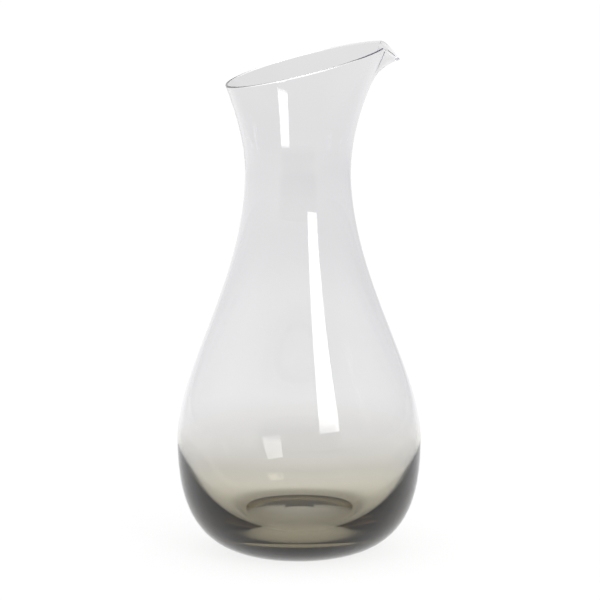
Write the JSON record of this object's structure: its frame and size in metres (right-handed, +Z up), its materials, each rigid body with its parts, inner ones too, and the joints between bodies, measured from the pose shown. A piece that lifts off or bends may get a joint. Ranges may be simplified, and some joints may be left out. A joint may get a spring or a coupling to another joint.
{
  "type": "decanter",
  "caption": "Blown glass decanter with a drop-shaped belly, narrow neck, slanted flared mouth with a pulled pouring lip, and a heavy smoke-grey base fading to clear.",
  "frame": {"origin": "centre of the foot, on the surface that the decanter stands on", "axes": "+Z up along the decanter's axis, +X towards the pouring lip"},
  "size_m": [0.126, 0.126, 0.2627],
  "materials": {
    "clear_glass": "fire-polished clear glass",
    "smoke_glass": "polished smoke-grey glass, darker where it is thicker"
  },
  "bodies": {
    "root": {"clear_bubble": "clear_glass", "smoke_gather": "smoke_glass"}
  },
  "joints": []
}
